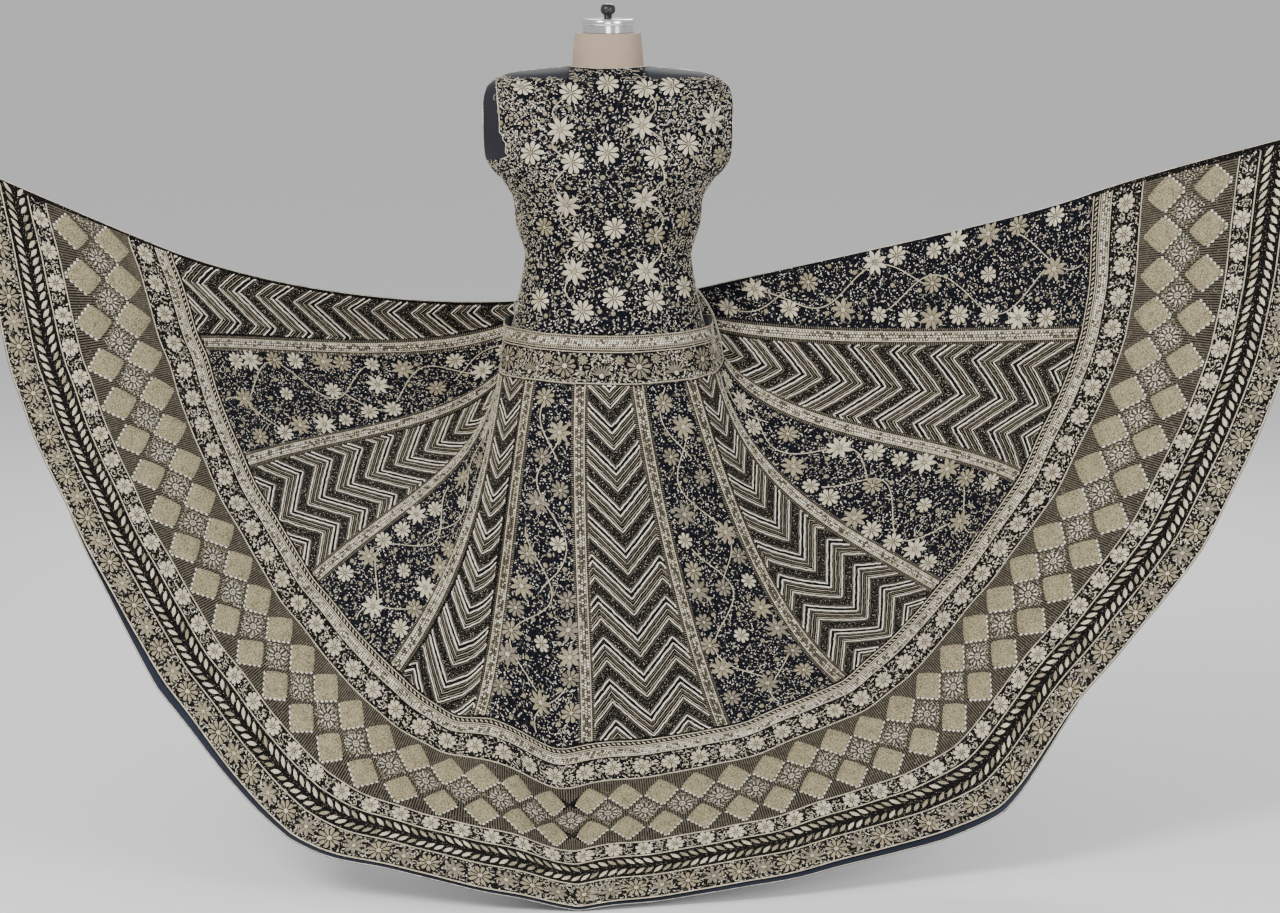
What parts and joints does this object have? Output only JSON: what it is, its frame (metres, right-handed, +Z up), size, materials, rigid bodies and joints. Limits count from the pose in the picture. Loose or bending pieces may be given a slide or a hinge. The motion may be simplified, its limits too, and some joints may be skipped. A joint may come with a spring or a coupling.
{
  "type": "lehenga set on a dress form",
  "caption": "Embroidered panelled lehenga skirt spread wide with a deep border and waist belt, with a sleeveless choli, standing on a limbless dress form.",
  "frame": {"origin": "centre of the stand's round base, at its underside on the floor", "axes": "+Z up, the front of the dress faces -Y, +X to the viewer's right"},
  "size_m": [2.282, 1.0659, 1.4116],
  "materials": {
    "zigzag_cloth": "black net with cream and taupe zigzag thread lines",
    "floral_cloth": "midnight navy net with silver and pale gold floral thread and sequins",
    "border_cloth": "dense taupe, gold and silver thread and sequins on black net",
    "sequin_tape": "woven tape with pale gold sequins between cords",
    "lining_cloth": "midnight navy satin lining",
    "choli_cloth": "navy net with dense silver and pale gold floral thread",
    "form_cloth": "beige jersey stretched over the form",
    "polished_metal": "polished",
    "black_plastic": "satin black",
    "black_plate": "satin black"
  },
  "bodies": {
    "root": {"kali_01": "zigzag_cloth", "kali_02": "floral_cloth", "kali_03": "zigzag_cloth", "kali_04": "floral_cloth", "kali_05": "zigzag_cloth", "kali_06": "floral_cloth", "kali_07": "zigzag_cloth", "kali_08": "floral_cloth", "kali_09": "zigzag_cloth", "kali_10": "floral_cloth", "kali_11": "zigzag_cloth", "kali_12": "floral_cloth", "border_01": "border_cloth", "border_02": "border_cloth", "border_03": "border_cloth", "border_04": "border_cloth", "border_05": "border_cloth", "border_06": "border_cloth", "border_07": "border_cloth", "border_08": "border_cloth", "border_09": "border_cloth", "border_10": "border_cloth", "border_11": "border_cloth", "border_12": "border_cloth", "seam_tape_01": "sequin_tape", "seam_tape_02": "sequin_tape", "seam_tape_03": "sequin_tape", "seam_tape_04": "sequin_tape", "seam_tape_05": "sequin_tape", "seam_tape_06": "sequin_tape", "seam_tape_07": "sequin_tape", "seam_tape_08": "sequin_tape", "seam_tape_09": "sequin_tape", "seam_tape_10": "sequin_tape", "seam_tape_11": "sequin_tape", "belt_band": "border_cloth", "belt_top_tape": "sequin_tape", "lining_03": "lining_cloth", "lining_04": "lining_cloth", "lining_05": "lining_cloth", "lining_06": "lining_cloth", "lining_07": "lining_cloth", "lining_08": "lining_cloth", "lining_09": "lining_cloth", "choli_front": "choli_cloth", "choli_back": "choli_cloth", "form_torso": "form_cloth", "form_neck_cap": "polished_metal", "form_knob": "black_plastic", "form_pole": "polished_metal", "form_base": "black_plate"}
  },
  "joints": []
}
